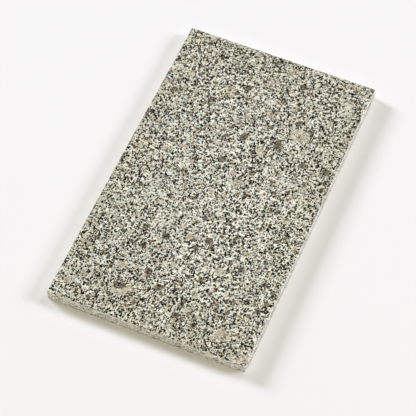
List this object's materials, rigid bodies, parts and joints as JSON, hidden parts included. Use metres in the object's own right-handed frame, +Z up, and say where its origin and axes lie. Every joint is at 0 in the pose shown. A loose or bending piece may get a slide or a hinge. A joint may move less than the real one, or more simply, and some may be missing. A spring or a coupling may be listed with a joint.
{
  "type": "granite slab",
  "caption": "Thin rectangular slab of polished granite with eased edges, laid flat as a hard, level surface for tooling and punching leather.",
  "frame": {"origin": "centre of the underside, where the slab rests on the bench", "axes": "+Z up, out of the polished working face; +Y along the long side; +X along the short side"},
  "size_m": [0.15, 0.254, 0.01],
  "materials": {
    "granite": "polished salt-and-pepper granite with cream, grey, brown and black grains; satin eased edges"
  },
  "bodies": {
    "root": {"granite_slab": "granite"}
  },
  "joints": []
}
